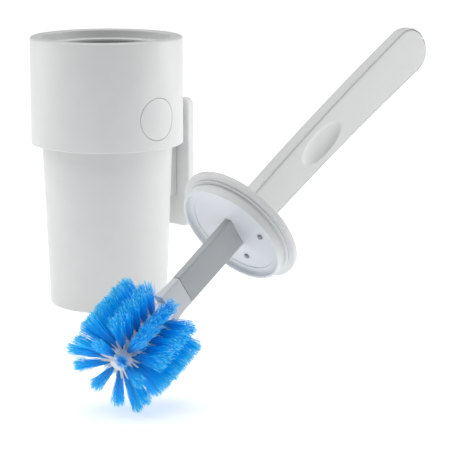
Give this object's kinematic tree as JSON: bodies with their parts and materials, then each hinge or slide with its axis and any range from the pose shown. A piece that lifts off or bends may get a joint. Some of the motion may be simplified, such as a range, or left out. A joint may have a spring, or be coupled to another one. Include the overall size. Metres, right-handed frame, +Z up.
{
  "type": "toilet brush holder",
  "caption": "White toilet brush holder with a wide collar and wall bracket, and its brush with a round lid, flat handle and blue bristle head laid out beside it",
  "frame": {"origin": "middle of the cup's foot, on the floor", "axes": "+Z up, +Y towards the wall behind the bracket, +X out of the round release button"},
  "size_m": [0.325, 0.2864, 0.2142],
  "materials": {
    "white_plastic": "satin",
    "cool_white_plastic": "satin",
    "grey_plastic": "matte",
    "steel": "bright",
    "foam_tape": "matte",
    "blue_bristle": "fine filaments"
  },
  "bodies": {
    "wall_bracket": {"wall_bracket": "white_plastic", "adhesive_pad": "foam_tape"},
    "holder": {"collar": "white_plastic", "mouth_ring": "white_plastic", "cup": "white_plastic"},
    "release_button": {"release_button": "white_plastic"},
    "brush": {"lid_top": "white_plastic", "lid_base": "cool_white_plastic", "lid_clip_1": "grey_plastic", "lid_clip_2": "grey_plastic", "handle_back": "white_plastic", "handle_front": "white_plastic", "stem": "cool_white_plastic", "stem_pin_1": "steel", "stem_pin_2": "steel", "head_socket": "cool_white_plastic", "head_core": "white_plastic", "bristle_row_01": "blue_bristle", "bristle_row_02": "blue_bristle", "bristle_row_03": "blue_bristle", "bristle_row_04": "blue_bristle", "bristle_row_05": "blue_bristle", "bristle_row_06": "blue_bristle", "bristle_row_07": "blue_bristle", "bristle_row_08": "blue_bristle", "bristle_row_09": "blue_bristle", "bristle_row_10": "blue_bristle"}
  },
  "joints": [
    {"name": "holder_lift", "type": "slide", "parent": "wall_bracket", "child": "holder", "axis": [0, 0, 1], "range_m": [0, 0.34]},
    {"name": "release_button_press", "type": "slide", "parent": "holder", "child": "release_button", "axis": [-1, 0, 0], "range_m": [0, 0.0026], "stiffness_N_per_m": 500, "springref_m": -0.002},
    {"name": "brush_carry", "type": "hinge", "parent": "wall_bracket", "child": "brush", "pos_m": [-0.0345, -0.4893, 0.3308], "axis": [0.8799, 0.222, 0.4202], "range_deg": [0, 61.97]}
  ]
}
